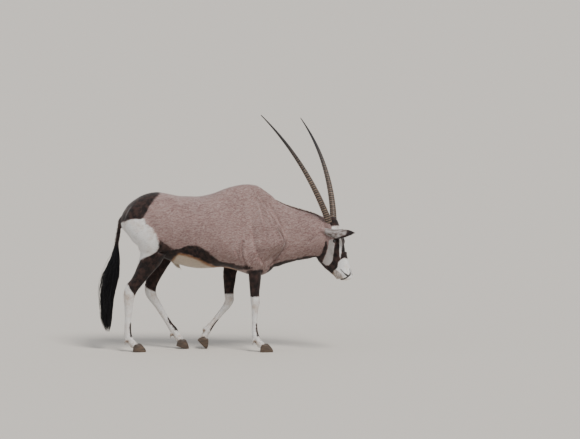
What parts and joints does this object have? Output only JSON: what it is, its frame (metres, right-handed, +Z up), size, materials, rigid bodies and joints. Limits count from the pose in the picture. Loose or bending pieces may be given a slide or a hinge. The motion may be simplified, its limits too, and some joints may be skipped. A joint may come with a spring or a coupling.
{
  "type": "gemsbok model",
  "caption": "Life-size still model of an adult male gemsbok walking with lowered head, long straight ringed horns and a long tail; a museum display figure that stands on its hooves.",
  "frame": {"origin": "centre of the bounding box's footprint, on the floor the hooves stand on", "axes": "+X towards the head along the body, +Y to the animal's left, +Z up"},
  "size_m": [1.8288, 0.7324, 1.7213],
  "materials": {
    "coat_fawn": "short flat fur",
    "coat_white": "short flat fur",
    "coat_dark": "short flat fur",
    "tail_hair": "long coarse hair",
    "ear": "very short fur",
    "horn": "satin, ringed",
    "hoof": "satin",
    "eye": "gloss"
  },
  "bodies": {
    "root": {"leg_fore_right": "coat_white", "leg_fore_left": "coat_white", "leg_hind_right": "coat_white", "leg_hind_left": "coat_white", "torso": "coat_fawn", "neck": "coat_fawn", "head": "coat_dark", "eye_left": "eye", "horn_left": "horn", "eye_right": "eye", "horn_right": "horn", "ear_right": "ear", "ear_left": "ear", "hoof_fore_right_outer": "hoof", "hoof_fore_right_inner": "hoof", "hoof_fore_left_outer": "hoof", "hoof_fore_left_inner": "hoof", "hoof_hind_right_outer": "hoof", "hoof_hind_right_inner": "hoof", "hoof_hind_left_outer": "hoof", "hoof_hind_left_inner": "hoof", "tail_dock": "coat_dark", "tail_tuft": "tail_hair"}
  },
  "joints": []
}
